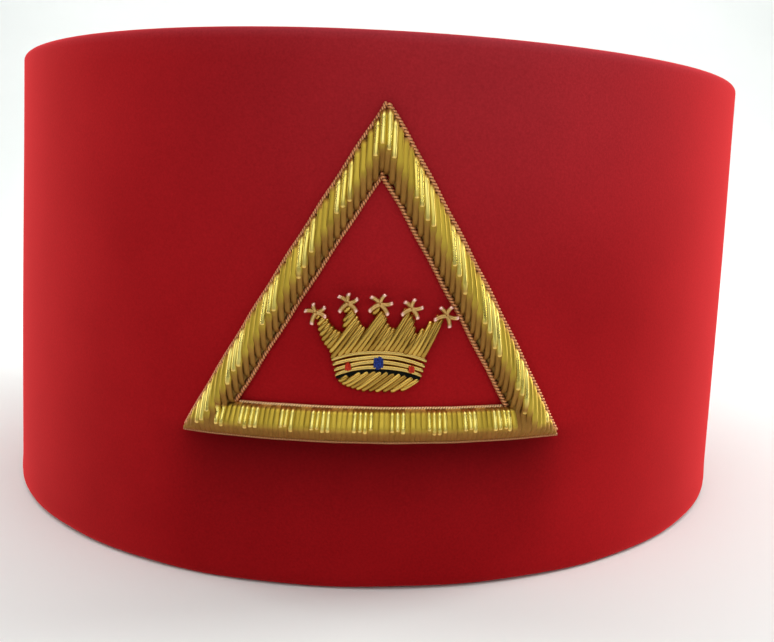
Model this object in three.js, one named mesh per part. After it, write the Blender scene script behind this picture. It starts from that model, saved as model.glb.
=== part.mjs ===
// A stiff oval ceremonial cap in red cloth, with a padded gold-wire triangle and crown worked on its front.
// Millimetres, +Z up. The front faces -Y, and the cap stands on its open rim at z = 0.
import * as THREE from "three";

// The cap's outside, at the rim: half its width from side to side and half its length from front to back.
const CAP_HALF_WIDTH = 85.8;
const CAP_HALF_LENGTH = 105.8;
// The front's height. The cap leans a little towards +X, and its top lies square to that lean.
const CAP_HEIGHT = 92;
const CAP_LEAN = 0.03;
// Cloth over its stiffening, at the side and at the top.
const WALL_THICKNESS = 2.5;
const TOP_THICKNESS = 2.5;
// Roundings of the folded rim, the upper edge and the top's own edge, and how far the top swells.
const RIM_ROUND = 0.7;
const EDGE_ROUND = 1.2;
const TOP_ROUND = 0.8;
const TOP_SWELL = 1.5;
// The top's edge sits this far below the side's upper edge.
const TOP_INSET = 0.4;
// Rings that carry the swell, from the edge to the middle, as shares of the way out.
const SWELL_RINGS = [0.75, 0.4];
// Clearance between a seated piece and what carries it, and between neighbouring pieces of trim.
const SEAT_GAP = 0.3;
const TRIM_GAP = 0.15;

// The triangle lies between these margins of plain cloth, and its half base is this share of its height.
const MARGIN_ABOVE = 11.4;
const MARGIN_BELOW = 25.5;
const TRIANGLE_SPREAD = 0.597;
// The bars' widths between the outsides of their edging cords, and the height of their padding.
const SIDE_BAR_WIDTH = 5.8;
const BASE_BAR_WIDTH = 6.3;
const BAR_PADDING = 2.9;
// The padding's height at a bar's edges, as a share of its ridge.
const BAR_EDGE_SHARE = 0.3;
// How far the base bar's foot reaches outwards past the inner corners.
const CORNER_REACH = 2.1;
// A bar's tip is cut off where it is no taller than this.
const SHORTEST_COLUMN = 1.2;
const EDGE_CORD_DIAMETER = 0.85;

// The crown: its half width and height are shares of the opening that it sits in.
const CROWN_WIDTH_SHARE = 0.449;
const CROWN_HEIGHT_SHARE = 0.369;
const CROWN_LIFT = 2.5;
const CROWN_OFFSET = 0.7;
const CROWN_PADDING = 1.1;
// The padding's height at the crown's ends and at its foot's ends, as shares of the whole.
const CROWN_EDGE_SHARE = 0.55;
const FOOT_EDGE_SHARE = 0.4;
const BAND_STRANDS = 4;
const BAND_STRAND_DIAMETER = 0.68;
const SHADE_THREAD_DIAMETER = 0.5;
const STAR_RADIUS = 2.1;
const STAR_RAYS = 5;
const STAR_RAY_WIDTH = 0.6;
const JEWEL_THICKNESS = 0.7;

// The crown's upper outline, left to right, in shares of its half width and of its height.
const CROWN_OUTLINE = [
  { across: -1.0, up: 0.83 },
  { across: -0.92, up: 0.83 },
  { across: -0.74, up: 0.73 },
  { across: -0.6, up: 0.69 },
  { across: -0.57, up: 0.98 },
  { across: -0.44, up: 0.98 },
  { across: -0.33, up: 0.83 },
  { across: -0.23, up: 0.75 },
  { across: -0.15, up: 0.85 },
  { across: -0.07, up: 0.98 },
  { across: 0.02, up: 0.98 },
  { across: 0.12, up: 0.77 },
  { across: 0.25, up: 0.75 },
  { across: 0.37, up: 0.91 },
  { across: 0.47, up: 0.91 },
  { across: 0.58, up: 0.69 },
  { across: 0.72, up: 0.78 },
  { across: 0.88, up: 0.84 },
  { across: 1.0, up: 0.84 },
];
// The stars at the points' tips, in the same shares, each turned by its own angle in degrees.
const CROWN_STARS = [
  { across: -1.03, up: 0.93, turn: 8 },
  { across: -0.53, up: 1.055, turn: -5 },
  { across: -0.03, up: 1.05, turn: -27 },
  { across: 0.47, up: 1.0, turn: -20 },
  { across: 1.03, up: 0.92, turn: 32 },
];
// The band's half widths at its top and foot, the height of its ends and its rise in the middle.
const BAND_HALF = 0.76;
const BAND_FOOT_HALF = 0.67;
const BAND_TOP = 0.41;
const BAND_ARCH = 0.1;
// The far side of the foot, seen below the band: its half width and the drop of its middle.
const FOOT_HALF = 0.65;
const FOOT_ARCH = 0.11;
const FOOT_LEAST = 0.03;
// Knots of thread worked over the band: their place in strands from its top, their half width as a
// share of the crown's, and their height in strands.
const JEWELS = [
  { name: "jewel_left", across: -0.49, strand: 2.6, wide: 0.07, tall: 1.15, colour: 0xc8281c },
  { name: "jewel_centre", across: -0.01, strand: 2.2, wide: 0.085, tall: 2.1, colour: 0x1f2f86 },
  { name: "jewel_right", across: 0.52, strand: 2.7, wide: 0.07, tall: 1.15, colour: 0xc8281c },
];

// Facets round the cap's plan and round thin tubes.
const PLAN_STEPS = 96;
const ROUND_STEPS = 3;
const ARC_STEPS = 24;
const TUBE_SIDES = 8;
const FULL_TURN = 2 * Math.PI;
// Stations along and across the padding, and the cords' length from one station to the next.
const SIDE_BAR_STATIONS = 20;
const BASE_BAR_STATIONS = 28;
const RIDGE_STEPS = 8;
const CORD_STATION = 3;
const BAND_STATIONS = 14;
const FOOT_STATIONS = 14;
const CROWN_STEPS = 5;

// The badge stands proud of the front by its bars. The origin is the middle of the whole part's footprint.
const BADGE_PROUD = SEAT_GAP + BAR_PADDING;
const PLAN_CENTRE_Y = BADGE_PROUD / 2;

const cloth = new THREE.MeshStandardMaterial({ color: 0x9c1418, roughness: 0.9, metalness: 0 });
const brightGold = new THREE.MeshStandardMaterial({ color: 0xd6b53a, roughness: 0.3, metalness: 0.9 });
const cordGold = new THREE.MeshStandardMaterial({ color: 0xc08a48, roughness: 0.4, metalness: 0.8 });
const darkThread = new THREE.MeshStandardMaterial({ color: 0x14181a, roughness: 0.8, metalness: 0 });

// A point at plan angle t from the front and height z, pushed out from the side's outer face by w.
function wallPoint(t, z, w) {
  const out = new THREE.Vector2(Math.sin(t) / CAP_HALF_WIDTH, -Math.cos(t) / CAP_HALF_LENGTH).normalize();
  const x = CAP_HALF_WIDTH * Math.sin(t) + out.x * w;
  const y = -CAP_HALF_LENGTH * Math.cos(t) + out.y * w;
  return new THREE.Vector3(x + CAP_LEAN * (z - CAP_HEIGHT / 2), y + PLAN_CENTRE_Y, z);
}

// The height of the top's plane above a place at plan angle t, w outside the side's outer face.
function topHeight(t, w) {
  const x = wallPoint(t, CAP_HEIGHT / 2, w).x;
  return CAP_HEIGHT - CAP_LEAN * x;
}

// The plan angle at which the side's outer face is u along its arc from the front, by midpoint steps.
function frontAngle(u) {
  const speed = (t) => Math.hypot(CAP_HALF_WIDTH * Math.cos(t), CAP_HALF_LENGTH * Math.sin(t));
  const step = u / ARC_STEPS;
  let t = 0;
  for (let i = 0; i < ARC_STEPS; i++) {
    const middle = t + step / 2 / speed(t);
    t += step / speed(middle);
  }
  return t;
}

// A point of the badge: u along the front's arc, height v, w out from the cloth.
function badgePoint(u, v, w) {
  return wallPoint(frontAngle(u), v, w);
}

function lerp(a, b, k) {
  return a + (b - a) * k;
}

// A closed mesh from points and faces, each face a list of point numbers that turn left seen from outside.
function solid(points, faces) {
  const geometry = new THREE.BufferGeometry();
  const numbers = points.flatMap((p) => [p.x, p.y, p.z]);
  geometry.setAttribute("position", new THREE.Float32BufferAttribute(numbers, 3));
  geometry.setIndex(faces.flatMap((f) => f.slice(2).flatMap((_, i) => [f[0], f[i + 1], f[i + 2]])));
  geometry.computeVertexNormals();
  return geometry;
}

// Points of a quarter round in a section: centre, radius, and the angles it starts and ends at, in degrees.
function quarterRound(w, drop, radius, from, to) {
  return Array.from({ length: ROUND_STEPS + 1 }, (_, i) => {
    const angle = THREE.MathUtils.degToRad(lerp(from, to, i / ROUND_STEPS));
    return { w: w + radius * Math.cos(angle), drop: drop + radius * Math.sin(angle) };
  });
}

// The side: an oval wall, open below, whose section is carried round the plan.
function sideGeometry() {
  const inner = { w: -WALL_THICKNESS, drop: 0 };
  const rim = [inner, ...quarterRound(-RIM_ROUND, RIM_ROUND, RIM_ROUND, 270, 360)];
  const edge = [...quarterRound(-EDGE_ROUND, -EDGE_ROUND, EDGE_ROUND, 0, 90), inner];
  const points = [];
  for (let i = 0; i < PLAN_STEPS; i++) {
    const t = (FULL_TURN * i) / PLAN_STEPS;
    for (const p of rim) points.push(wallPoint(t, p.drop, p.w));
    for (const p of edge) points.push(wallPoint(t, topHeight(t, p.w) + p.drop, p.w));
  }
  return solid(points, ringFaces(rim.length + edge.length));
}

// Faces between closed sections of n points, one section at each plan station.
function ringFaces(n) {
  const faces = [];
  for (let i = 0; i < PLAN_STEPS; i++)
    for (let j = 0; j < n; j++) {
      const here = i * n;
      const next = ((i + 1) % PLAN_STEPS) * n;
      const k = (j + 1) % n;
      faces.push([here + j, next + j, next + k, here + k]);
    }
  return faces;
}

// The top: a softly swelled oval plate set inside the side's upper edge.
function topGeometry() {
  const edge = -(WALL_THICKNESS + SEAT_GAP);
  const rim = [
    { w: edge - TOP_ROUND, drop: -TOP_THICKNESS },
    { w: edge, drop: TOP_ROUND - TOP_THICKNESS },
    ...quarterRound(edge - TOP_ROUND, -TOP_ROUND, TOP_ROUND, 0, 90),
  ];
  const rimPoint = (t, p) => wallPoint(t, topHeight(t, p.w) - TOP_INSET + p.drop, p.w);
  const under = rim[0];
  const over = rim[rim.length - 1];
  const inwards = (share, p) => (t) => {
    const out = rimPoint(t, p);
    const level = CAP_HEIGHT - TOP_INSET + p.drop;
    const middle = new THREE.Vector3(CAP_LEAN * (level - CAP_HEIGHT / 2), PLAN_CENTRE_Y, level);
    const at = middle.lerp(out, share);
    at.z += TOP_SWELL * (1 - share * share);
    return at;
  };
  const rings = [
    ...[...SWELL_RINGS].reverse().map((share) => inwards(share, under)),
    ...rim.map((p) => (t) => rimPoint(t, p)),
    ...SWELL_RINGS.map((share) => inwards(share, over)),
  ];
  const points = rings.flatMap((place) =>
    Array.from({ length: PLAN_STEPS }, (_, i) => place((FULL_TURN * i) / PLAN_STEPS)),
  );
  const underMiddle = points.push(inwards(0, under)(0)) - 1;
  const overMiddle = points.push(inwards(0, over)(0)) - 1;
  const last = (rings.length - 1) * PLAN_STEPS;
  const faces = [];
  for (let i = 0; i < PLAN_STEPS; i++) {
    const next = (i + 1) % PLAN_STEPS;
    for (let r = 0; r < last; r += PLAN_STEPS)
      faces.push([r + i, r + next, r + PLAN_STEPS + next, r + PLAN_STEPS + i]);
    faces.push([next, i, underMiddle], [last + i, last + next, overMiddle]);
  }
  return solid(points, faces);
}

// A raised pad on the cloth. Each column runs from its low place to its high place, both [u, v],
// and the pad's thickness at share s of that way is relief(s, column).
function padGeometry(columns, relief, steps) {
  const points = [];
  const row = steps + 1;
  for (const column of columns)
    for (const raised of [false, true])
      for (let j = 0; j <= steps; j++) {
        const s = j / steps;
        const u = lerp(column.low[0], column.high[0], s);
        const v = lerp(column.low[1], column.high[1], s);
        points.push(badgePoint(u, v, SEAT_GAP + (raised ? relief(s, column) : 0)));
      }
  const back = (i, j) => i * 2 * row + j;
  const face = (i, j) => back(i, j) + row;
  const faces = [];
  const end = columns.length - 1;
  for (let i = 0; i < end; i++) {
    for (let j = 0; j < steps; j++) {
      faces.push([face(i, j), face(i + 1, j), face(i + 1, j + 1), face(i, j + 1)]);
      faces.push([back(i, j), back(i, j + 1), back(i + 1, j + 1), back(i + 1, j)]);
    }
    faces.push([back(i, 0), back(i + 1, 0), face(i + 1, 0), face(i, 0)]);
    faces.push([face(i, steps), face(i + 1, steps), back(i + 1, steps), back(i, steps)]);
  }
  for (let j = 0; j < steps; j++) {
    faces.push([back(0, j), face(0, j), face(0, j + 1), back(0, j + 1)]);
    faces.push([face(end, j), back(end, j), back(end, j + 1), face(end, j + 1)]);
  }
  return solid(points, faces);
}

// A tube on the cloth along place(k), k from 0 to 1, which gives [u, v, w] of its centre line.
function tubeGeometry(place, diameter, steps) {
  class TubeLine extends THREE.Curve {
    getPoint(k, target = new THREE.Vector3()) {
      return target.copy(badgePoint(...place(k)));
    }
  }
  const ring = Array.from({ length: TUBE_SIDES }, (_, i) => {
    const angle = (FULL_TURN * (i + 0.5)) / TUBE_SIDES;
    return new THREE.Vector2(Math.cos(angle), Math.sin(angle)).multiplyScalar(diameter / 2);
  });
  return new THREE.ExtrudeGeometry(new THREE.Shape(ring), { steps, extrudePath: new TubeLine() });
}

// The triangle's outline moved inwards, its sides and its base each by an amount of their own.
const TRIANGLE_HEIGHT = CAP_HEIGHT - MARGIN_ABOVE - MARGIN_BELOW;
const SLOPE = 1 / TRIANGLE_SPREAD;
const SHARPEST_CORNER = Math.min(Math.atan(SLOPE), 2 * Math.atan(TRIANGLE_SPREAD));
function insetTriangle(side, base) {
  const apex = MARGIN_BELOW + TRIANGLE_HEIGHT - side * Math.hypot(1, SLOPE);
  const foot = MARGIN_BELOW + base;
  return { apex, foot, half: (apex - foot) / SLOPE };
}
const CORD_RADIUS = EDGE_CORD_DIAMETER / 2;
const CORD_ROOM = EDGE_CORD_DIAMETER + TRIM_GAP;
const outerCords = insetTriangle(CORD_RADIUS, CORD_RADIUS);
const innerCords = insetTriangle(SIDE_BAR_WIDTH - CORD_RADIUS, BASE_BAR_WIDTH - CORD_RADIUS);
const padOuter = insetTriangle(CORD_ROOM, CORD_ROOM);
const padInner = insetTriangle(SIDE_BAR_WIDTH - CORD_ROOM, BASE_BAR_WIDTH - CORD_ROOM);
const opening = insetTriangle(SIDE_BAR_WIDTH, BASE_BAR_WIDTH);

// The padding's rounded ridge over each column of a bar, lower where the bar runs out into a corner.
function ridge(full) {
  return (s, column) => {
    const length = column.high[1] - column.low[1];
    const height = BAR_PADDING * Math.sqrt(Math.min(1, length / full));
    return height * lerp(BAR_EDGE_SHARE, 1, Math.sqrt(Math.sin(Math.PI * s)));
  };
}

// Columns at even places across, from one end to the other, between two edges given as functions.
function columnsBetween(from, to, count, low, high) {
  return Array.from({ length: count + 1 }, (_, i) => {
    const u = lerp(from, to, i / count);
    return { low: [u, low(u)], high: [u, high(u)] };
  });
}

// The seam between the side bars and the base bar, rising inwards to the inner corners.
const SEAM_RISE = (padInner.foot - padOuter.foot) / CORNER_REACH;
function cornerSeam(u) {
  const rise = (padInner.half + CORNER_REACH - Math.abs(u)) * SEAM_RISE;
  return padOuter.foot + THREE.MathUtils.clamp(rise, 0, CORNER_REACH * SEAM_RISE);
}

function sideBarGeometry(sign) {
  const high = (u) => padOuter.apex - Math.abs(u) * SLOPE;
  const low = (u) => Math.max(cornerSeam(u), padInner.apex - Math.abs(u) * SLOPE);
  const tip = padOuter.half - SHORTEST_COLUMN / SLOPE;
  const ends = sign < 0 ? [-tip, -SEAT_GAP / 2] : [SEAT_GAP / 2, tip];
  const full = padOuter.apex - padInner.apex;
  return padGeometry(columnsBetween(...ends, SIDE_BAR_STATIONS, low, high), ridge(full), RIDGE_STEPS);
}

function baseBarGeometry() {
  const low = () => padOuter.foot;
  const high = (u) => cornerSeam(Math.abs(u) + SEAT_GAP);
  const tip = padInner.half + CORNER_REACH - SEAT_GAP - SHORTEST_COLUMN / SEAM_RISE;
  const full = padInner.foot - padOuter.foot;
  return padGeometry(columnsBetween(-tip, tip, BASE_BAR_STATIONS, low, high), ridge(full), RIDGE_STEPS);
}

// A straight length of edging cord between two corners, cut back so that it meets its neighbours clear.
function edgeCordGeometry(from, to) {
  const length = Math.hypot(to[0] - from[0], to[1] - from[1]);
  const cut = (CORD_RADIUS + TRIM_GAP) / Math.tan(SHARPEST_CORNER / 2) / length;
  const place = (k) => {
    const share = lerp(cut, 1 - cut, k);
    return [lerp(from[0], to[0], share), lerp(from[1], to[1], share), SEAT_GAP + CORD_RADIUS];
  };
  return tubeGeometry(place, EDGE_CORD_DIAMETER, Math.ceil(length / CORD_STATION));
}

const CROWN_HALF = opening.half * CROWN_WIDTH_SHARE;
const CROWN_HEIGHT = (opening.apex - opening.foot) * CROWN_HEIGHT_SHARE;
const STRAND_PITCH = BAND_STRAND_DIAMETER + TRIM_GAP;

// A place on the crown in shares of its half width and of its height.
function crownPlace(across, up) {
  return [CROWN_OFFSET + across * CROWN_HALF, opening.foot + CROWN_LIFT + up * CROWN_HEIGHT];
}

// The band's upper edge at share k of its width: level at the ends, arched in the middle.
function bandTop(k) {
  return BAND_TOP + BAND_ARCH * (1 - (2 * k - 1) ** 2);
}

// The centre line of something on the band, any number of strands down from its top.
function bandLine(strand) {
  const half = lerp(BAND_HALF, BAND_FOOT_HALF, strand / BAND_STRANDS);
  return (k) => {
    const [u, v] = crownPlace(lerp(-half, half, k), bandTop(k));
    return [u, v - strand * STRAND_PITCH];
  };
}

// The crown above its band: columns fan out from the band to the points and valleys of the outline.
function crownBodyGeometry() {
  const columns = CROWN_OUTLINE.map(({ across, up }) => {
    const [u, v] = crownPlace(across * BAND_HALF, bandTop((across + 1) / 2));
    return { low: [u, v + TRIM_GAP], high: crownPlace(across, up) };
  });
  const relief = (s) => CROWN_PADDING * lerp(CROWN_EDGE_SHARE, 1, Math.sin(Math.PI * s));
  return padGeometry(columns, relief, CROWN_STEPS);
}

// The far side of the crown's foot, a lens that shows under the band.
function crownFootGeometry() {
  const threadRoom = SHADE_THREAD_DIAMETER + 2 * TRIM_GAP;
  const columns = Array.from({ length: FOOT_STATIONS + 1 }, (_, i) => {
    const k = i / FOOT_STATIONS;
    const across = lerp(-FOOT_HALF, FOOT_HALF, k);
    const high = crownPlace(across, bandTop(k));
    high[1] -= BAND_STRANDS * STRAND_PITCH + threadRoom;
    const low = crownPlace(across, FOOT_ARCH * (2 * k - 1) ** 2);
    low[1] = Math.min(low[1], high[1] - FOOT_LEAST * CROWN_HEIGHT);
    return { low, high };
  });
  const relief = (s) => CROWN_PADDING * lerp(FOOT_EDGE_SHARE, 1, Math.sin(Math.PI * s));
  return padGeometry(columns, relief, CROWN_STEPS);
}

// Puts a piece flat on the cloth: its own X runs along the wall, its Y up, and its Z outwards.
function layOnCloth(mesh, u, v, w) {
  const place = badgePoint(u, v, w);
  const outward = badgePoint(u, v, w + 1).sub(place).normalize();
  const side = new THREE.Vector3(0, 0, 1).cross(outward);
  const up = outward.clone().cross(side);
  mesh.position.copy(place);
  mesh.quaternion.setFromRotationMatrix(new THREE.Matrix4().makeBasis(side, up, outward));
  return mesh;
}

// A worked jewel: a flattened knot of thread over the band's strands.
function jewelMesh(jewel) {
  const geometry = new THREE.SphereGeometry(1, 12, 8);
  geometry.scale(jewel.wide * CROWN_HALF, (jewel.tall * STRAND_PITCH) / 2, JEWEL_THICKNESS / 2);
  const material = new THREE.MeshStandardMaterial({ color: jewel.colour, roughness: 0.7, metalness: 0 });
  const half = lerp(BAND_HALF, BAND_FOOT_HALF, jewel.strand / BAND_STRANDS);
  const [u, v] = bandLine(jewel.strand)((jewel.across / half + 1) / 2);
  const lift = SEAT_GAP + BAND_STRAND_DIAMETER + TRIM_GAP + JEWEL_THICKNESS / 2;
  return layOnCloth(named(jewel.name, geometry, material), u, v, lift);
}

// A star of short wire rays round one centre, lying over the tip of a point.
function starMesh(star, index) {
  const half = STAR_RAY_WIDTH / 2;
  const notchRadius = half / Math.sin(Math.PI / STAR_RAYS);
  const outline = [];
  for (let i = 0; i < STAR_RAYS; i++) {
    const angle = THREE.MathUtils.degToRad(90 + star.turn) + (FULL_TURN * i) / STAR_RAYS;
    const along = new THREE.Vector2(Math.cos(angle), Math.sin(angle));
    const across = new THREE.Vector2(-along.y, along.x);
    const notch = angle + Math.PI / STAR_RAYS;
    outline.push(along.clone().multiplyScalar(STAR_RADIUS).addScaledVector(across, -half));
    outline.push(along.clone().multiplyScalar(STAR_RADIUS).addScaledVector(across, half));
    outline.push(new THREE.Vector2(Math.cos(notch), Math.sin(notch)).multiplyScalar(notchRadius));
  }
  const settings = { depth: STAR_RAY_WIDTH, bevelEnabled: false };
  const geometry = new THREE.ExtrudeGeometry(new THREE.Shape(outline), settings);
  const [u, v] = crownPlace(star.across, star.up);
  const mesh = named(`star_${index + 1}`, geometry, brightGold);
  return layOnCloth(mesh, u, v, SEAT_GAP + CROWN_PADDING + TRIM_GAP);
}

function named(name, geometry, material) {
  const mesh = new THREE.Mesh(geometry, material);
  mesh.name = name;
  return mesh;
}

function capBody() {
  const group = new THREE.Group();
  group.add(named("cap_side", sideGeometry(), cloth));
  group.add(named("cap_top", topGeometry(), cloth));
  return group;
}

function triangleBadge() {
  const group = new THREE.Group();
  group.add(named("triangle_bar_left", sideBarGeometry(-1), brightGold));
  group.add(named("triangle_bar_right", sideBarGeometry(1), brightGold));
  group.add(named("triangle_bar_base", baseBarGeometry(), brightGold));
  for (const [label, line] of [["outer", outerCords], ["inner", innerCords]]) {
    const left = [-line.half, line.foot];
    const right = [line.half, line.foot];
    const apex = [0, line.apex];
    group.add(named(`${label}_cord_left`, edgeCordGeometry(left, apex), cordGold));
    group.add(named(`${label}_cord_right`, edgeCordGeometry(apex, right), cordGold));
    group.add(named(`${label}_cord_base`, edgeCordGeometry(left, right), cordGold));
  }
  return group;
}

function crownBadge() {
  const group = new THREE.Group();
  group.add(named("crown_body", crownBodyGeometry(), brightGold));
  group.add(named("crown_foot", crownFootGeometry(), brightGold));
  for (let i = 0; i < BAND_STRANDS; i++) {
    const line = bandLine(i + 0.5);
    const place = (k) => [...line(k), SEAT_GAP + BAND_STRAND_DIAMETER / 2];
    const geometry = tubeGeometry(place, BAND_STRAND_DIAMETER, BAND_STATIONS);
    group.add(named(`band_strand_${i + 1}`, geometry, brightGold));
  }
  const lastLine = bandLine(BAND_STRANDS);
  const threadPlace = (k) => {
    const [u, v] = lastLine(k);
    return [u, v - SHADE_THREAD_DIAMETER / 2, SEAT_GAP + SHADE_THREAD_DIAMETER / 2];
  };
  const thread = tubeGeometry(threadPlace, SHADE_THREAD_DIAMETER, BAND_STATIONS);
  group.add(named("band_shade_thread", thread, darkThread));
  for (const jewel of JEWELS) group.add(jewelMesh(jewel));
  CROWN_STARS.forEach((star, i) => group.add(starMesh(star, i)));
  return group;
}

const cap = new THREE.Group();
cap.name = "crown_cap";
cap.add(capBody(), triangleBadge(), crownBadge());

export default cap;
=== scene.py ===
"""Looks of a red velvet ceremonial cap with a padded gold-wire badge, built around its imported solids."""
import math

import bpy
import numpy as np
from mathutils import Matrix, Vector


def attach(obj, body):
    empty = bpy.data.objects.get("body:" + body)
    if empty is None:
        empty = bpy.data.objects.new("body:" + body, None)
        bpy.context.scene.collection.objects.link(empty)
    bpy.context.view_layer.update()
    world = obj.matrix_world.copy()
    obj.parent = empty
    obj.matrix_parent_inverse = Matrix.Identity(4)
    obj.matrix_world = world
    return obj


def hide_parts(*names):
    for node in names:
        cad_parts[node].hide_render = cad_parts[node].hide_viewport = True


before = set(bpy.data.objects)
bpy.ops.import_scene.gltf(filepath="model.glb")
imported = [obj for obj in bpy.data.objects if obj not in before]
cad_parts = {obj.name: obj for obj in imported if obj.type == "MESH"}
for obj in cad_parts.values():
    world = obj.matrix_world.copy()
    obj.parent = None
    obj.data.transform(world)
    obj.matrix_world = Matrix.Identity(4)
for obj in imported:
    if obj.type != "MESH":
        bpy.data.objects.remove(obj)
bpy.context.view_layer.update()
rng = np.random.default_rng(11)

# Sizes of the cap, as its solids have them
MM = 0.001
CAP_HALF_WIDTH = 85.8 * MM
CAP_HALF_LENGTH = 105.8 * MM
CAP_HEIGHT = 92 * MM
CAP_LEAN = 0.03
WALL_THICK = 2.5 * MM
TOP_THICK = 2.5 * MM
TOP_INSET = 0.4 * MM
TOP_SWELL = 1.5 * MM
EDGE_ROUND = 1.2 * MM
RIM_ROLL = 1.1 * MM
TOP_ROUND = 0.8 * MM
SEAT_GAP = 0.3 * MM
TRIM_GAP = 0.15 * MM
# The right side is a little steeper and taller, by this much and round this angle
STEEPER = 0.9 * MM
STEEPER_ANGLE = 1.2
STEEPER_SPREAD = 0.55

# The side's rows: at each rounding, on its lower and upper halves and on each fold
ROUND_ROWS = 7
LOWER_ROWS = 36
UPPER_ROWS = 14
FOLD_ROWS = 3
FOLD_GAP = 0.3 * MM
LOWEST_ROW = 2 * MM
UPPER_SHARE = 0.46
EDGE_START = 1.6
OUTER_SHARE = 0.9
# The seam at the back, the puckered cloth beside it, and the swell over the folded rim
SEAM = {"deep": 0.4 * MM, "wide": 0.45 * MM}
PUCKER = {"high": 0.15 * MM, "wide": 4 * MM, "waves": 900}
RIM_SWELL = {"high": 0.12 * MM, "up": 2.4 * MM, "wide": 1.6 * MM}
# How uneven the rim is, and how far up that is felt
RIM_UNEVEN = 0.35 * MM
RIM_LEVEL = 0.5
RIM_WAVES = [
    {"share": 0.3, "round": 7, "start": 0.6},
    {"share": 0.2, "round": 23, "start": 0.0},
]
RIM_REACH = 3 * MM
# The cloth's slack, in waves round the side and up it
SLACK_WAVES = [
    {"high": 0.12 * MM, "round": 5, "up": 40, "start": 0.0},
    {"high": 0.08 * MM, "round": 11, "up": 0, "start": 1.3},
]
# The top's rings, as shares of the way out from its middle, and its cloth's ripple
TOP_SHARES = np.append(np.linspace(0.985, 0.02, 34), 0.002)
TOP_RIPPLE = {"high": 0.15 * MM, "across": 90, "along": 70, "start": 1}

# Painted shadow below the badge, darkening the velvet's colour: how much, how far down, and its soft edges
SHADOW_STRENGTH = 0.9
SHADOW_REACH = 11 * MM
SHADOW_EDGE = 2 * MM
SHADOW_SIDES = 2.5 * MM
# Painted haze of light at the upper right, lightening the velvet's colour: how much, where and how widely
HAZE_STRENGTH = 0.2
HAZE_CENTRE = 26 * MM
HAZE_SPREAD = 52 * MM
HAZE_DEPTH = 34 * MM
# Painted highlight along the upper edge: how much and how far down
EDGE_HIGHLIGHT = 0.3
EDGE_HIGHLIGHT_DEPTH = 1.3 * MM

# Sizes of the triangle
MARGIN_ABOVE = 11.4 * MM
MARGIN_BELOW = 25.5 * MM
TRIANGLE_SPREAD = 0.597
SIDE_BAR_WIDTH = 5.8 * MM
BASE_BAR_WIDTH = 6.3 * MM
BAR_PADDING = 2.9 * MM
CORD_ROOM = 0.02 * MM
SIDE_STRAND_PITCH = 0.92 * MM
BASE_STRAND_PITCH = 0.84 * MM
# Bright and dull wire: width over pitch, and height over width
STRAND_KINDS = [{"overlap": 0.88, "flat": 0.85}, {"overlap": 1.34, "flat": 0.46}]
BRIGHT, DULL = 0, 1
STRANDS_OF_A_KIND = (3, 3, 3, 4)
# The padding's ridge, as a share of the bar's width from its upper edge. Below it the wire is dull, with
# painted shade in its colour.
CREST = 0.6
# Its rolled edges, as shares of the way to the ridge and of the height, and its slopes' curve
EDGE_ROLL = 0.2
EDGE_RISE = 0.42
SLOPE_CURVE = 0.3
# The padding under a strand: its share of the strand's rise, and how far it lies off the cloth
PADDING_SHARE = 0.97
PADDING_LIFT = 0.1 * MM
PADDING_BACK = 0.05 * MM
DULL_BLEND = 0.16
# Painted shade at the bars' upper edges reaches this share of their width
EDGE_SHADE_SHARE = 0.1
SHORTEST_STRAND = 0.7 * MM
STRAND_SIDES = 14
STRAND_BOW = 0.04 * MM
FIRST_OF_A_KIND = 2
# A bright strand lies this far over the dull ones, and starts this unevenly near the ridge
BRIGHT_LIFT = 0.18 * MM
START_JITTER = 0.05
FIRST_START = 0.02
# The ends that get a painted highlight, and the share of the dull strands that have one
END_LENGTH = 0.36 * MM
DULL_END_LENGTH = 1.1 * MM
DULL_END_SHARE = 0.6
STRAND_STEPS = (1 - np.cos(np.pi * np.linspace(0, 1, 21))) / 2
# Bars: their edges in mm inwards from the solid triangle's, how far outside the inner corner the base bar's
# strands meet the side bars', and the strands' lean and uneven lean in degrees
BARS = {
    "left": {"outer": -0.6, "inner": 5.8, "seam": 2.1, "lean": 1, "jitter": 0.6},
    "right": {"outer": -0.85, "inner": 6.2, "seam": 0.4, "lean": -5, "jitter": 0.6},
    "base": {"outer": 0.0, "inner": 6.3, "jitter": 0.5},
}
# The strands lean more and more over this many from the apex, and less again over this many at the seam
LEAN_STARTS = 8
LEAN_ENDS = 4
PARALLEL = 1e-12
# Cords by side of the triangle: thickness, one ply's rise in a turn, groove and sideways wander in mm
CORDS = {
    "left": {"thick": 0.82, "plies": 2, "rise": 1.1, "groove": 0.14, "wander": 0.05},
    "right": {"thick": 0.98, "plies": 2, "rise": 1.25, "groove": 0.24, "wander": 0.05},
    "base": {"thick": 0.6, "plies": 2, "rise": 0.9, "groove": 0.04, "wander": 0.02},
}
CORD_SIDES = 16
CORD_STEPS = 9
WANDER_WAVES = 610
# How far each cord ends short of the apex and of the lower corners, in mm
CUTS = {
    "outer": {"left_top": 0.6, "right_top": 0.85, "left": 1.0, "right": 0.95, "base": 0.1},
    "inner": {"left_top": 0.75, "right_top": 0.1, "left": 0.1, "right": 0.1, "base": 0.8},
}
# Near the apex the cords turn by this share to a line a little left of it, within this reach
APEX_PINCH = 0.75
APEX_SHIFT = -0.35 * MM
APEX_REACH = 1.3 * MM

# Sizes of the crown
CROWN_WIDTH_SHARE = 0.449
CROWN_HEIGHT_SHARE = 0.369
CROWN_LIFT = 2.5 * MM
CROWN_OFFSET = 0.7 * MM
CROWN_PADDING = 1.1 * MM
BAND_STRANDS = 4
# The crown's laid parts: strand pitch, padding and shortest strand in mm, the first strand's start in half
# widths, its lean and uneven lean in degrees, and how many strands below the band's top its ends hide
LAID = {
    "crown_body": {"pitch": 0.74, "padding": 1.35, "shortest": 0.75,
                   "from": -2.2, "lean": 36, "jitter": 0.6, "hidden": 0.25},
    "crown_foot": {"pitch": 0.7, "padding": 1.1, "shortest": 0.7,
                   "from": -2, "lean": 52, "jitter": 1, "hidden": 4.5},
}
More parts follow.
